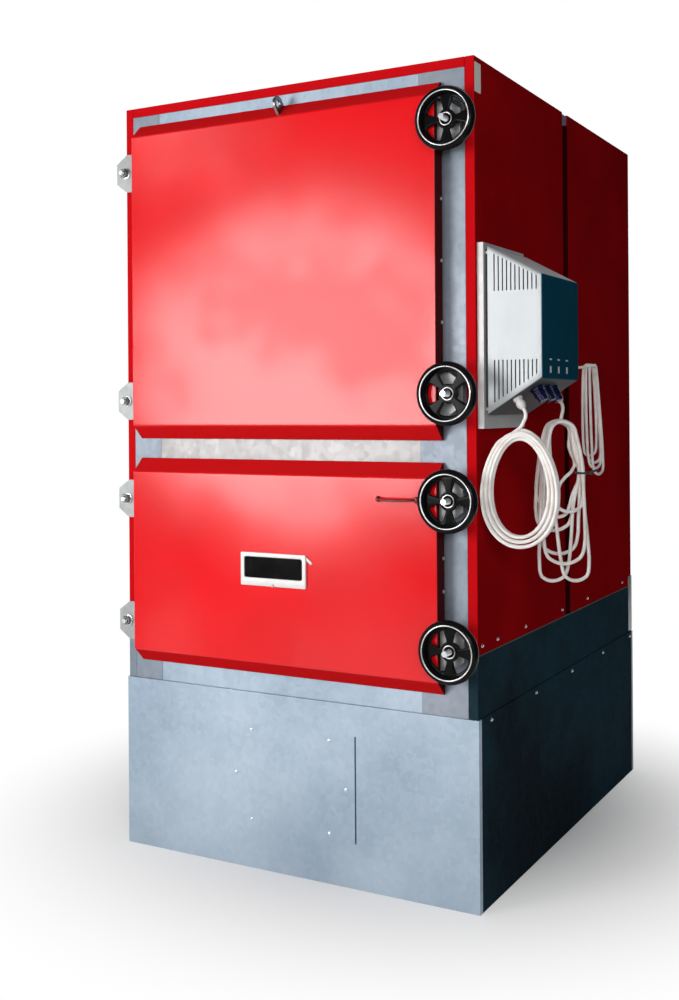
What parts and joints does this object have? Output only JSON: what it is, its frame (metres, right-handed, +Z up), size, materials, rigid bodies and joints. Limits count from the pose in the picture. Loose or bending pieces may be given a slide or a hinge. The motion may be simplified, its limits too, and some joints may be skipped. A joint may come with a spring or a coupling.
{
  "type": "industrial boiler",
  "caption": "Upright industrial boiler on a galvanised plinth, with clamped furnace and exchanger doors, handwheels, a sight window and a side control box with coiled cables.",
  "frame": {"origin": "centre of the base on the floor, midway between the casing's sides and ends", "axes": "+Z up, -Y out of the doors at the front, +X to the control box side"},
  "size_m": [1.4305, 1.583, 2.3],
  "materials": {
    "red_paint": "glossy red powder coat",
    "galvanised": "galvanised sheet, satin",
    "bright_steel": "zinc plated, bright",
    "dark_steel": "dark grey, matt",
    "black_plastic": "glossy black moulding",
    "refractory": "rough fired lining",
    "cover_steel": "stainless sheet, satin",
    "window_glass": "dark sooted glass",
    "white_cable": "white PVC",
    "white_plastic": "moulded, light grey",
    "blue_plastic": "moulded, dark blue"
  },
  "bodies": {
    "boiler": {"base_plate": "galvanised", "plinth_front": "galvanised", "plinth_back": "galvanised", "plinth_left": "galvanised", "plinth_right": "galvanised", "band_left": "galvanised", "band_right": "galvanised", "band_back": "galvanised", "left_front_panel": "red_paint", "left_rear_panel": "red_paint", "right_front_panel": "red_paint", "right_rear_panel": "red_paint", "top_panel": "red_paint", "back_panel": "red_paint", "seam_strips": "dark_steel", "frame_left_stile": "galvanised", "frame_right_stile": "galvanised", "frame_top_rail": "galvanised", "frame_middle_rail": "galvanised", "frame_bottom_rail": "galvanised", "furnace_floor": "refractory", "furnace_roof": "refractory", "furnace_side_walls": "refractory", "furnace_back_wall": "refractory", "smoke_side_plates": "dark_steel", "smoke_floor_and_roof": "dark_steel", "tube_plate": "dark_steel", "hinge_brackets": "galvanised", "clamp_sockets": "bright_steel", "control_back_plate": "galvanised", "control_joint": "dark_steel", "control_cover": "cover_steel", "cable_glands": "white_plastic", "control_connectors": "blue_plastic", "cable_1_coil": "white_cable", "cable_2_coil": "white_cable", "cable_3_coil": "white_cable", "cable_1_lead": "white_cable", "cable_2_lead": "white_cable", "cable_3_lead": "white_cable"},
    "exchanger_door": {"exchanger_door_skin": "red_paint", "exchanger_door_fill": "refractory", "exchanger_door_lugs": "galvanised", "exchanger_door_hinges": "bright_steel", "lifting_eye": "galvanised"},
    "furnace_door": {"furnace_door_skin": "red_paint", "furnace_door_fill": "refractory", "furnace_door_lugs": "galvanised", "furnace_door_hinges": "bright_steel", "window_frame": "bright_steel", "window_glass": "window_glass", "pull_handle": "red_paint"},
    "wheel_1": {"handwheel_1": "black_plastic"},
    "wheel_2": {"handwheel_2": "black_plastic"},
    "wheel_3": {"handwheel_3": "black_plastic"},
    "wheel_4": {"handwheel_4": "black_plastic"}
  },
  "joints": [
    {"name": "exchanger_door_swing", "type": "hinge", "parent": "boiler", "child": "exchanger_door", "pos_m": [-0.598, -0.752, 1.751], "axis": [0, 0, -1], "range_deg": [0, 110]},
    {"name": "furnace_door_swing", "type": "hinge", "parent": "boiler", "child": "furnace_door", "pos_m": [-0.598, -0.752, 0.9035], "axis": [0, 0, -1], "range_deg": [0, 110]},
    {"name": "wheel_1_turn", "type": "hinge", "parent": "exchanger_door", "child": "wheel_1", "pos_m": [0.536, -0.8, 2.122], "axis": [0, -1, 0], "continuous": true},
    {"name": "wheel_2_turn", "type": "hinge", "parent": "exchanger_door", "child": "wheel_2", "pos_m": [0.536, -0.8, 1.394], "axis": [0, -1, 0], "continuous": true},
    {"name": "wheel_3_turn", "type": "hinge", "parent": "furnace_door", "child": "wheel_3", "pos_m": [0.536, -0.8, 1.109], "axis": [0, -1, 0], "continuous": true},
    {"name": "wheel_4_turn", "type": "hinge", "parent": "furnace_door", "child": "wheel_4", "pos_m": [0.536, -0.8, 0.71], "axis": [0, -1, 0], "continuous": true}
  ]
}
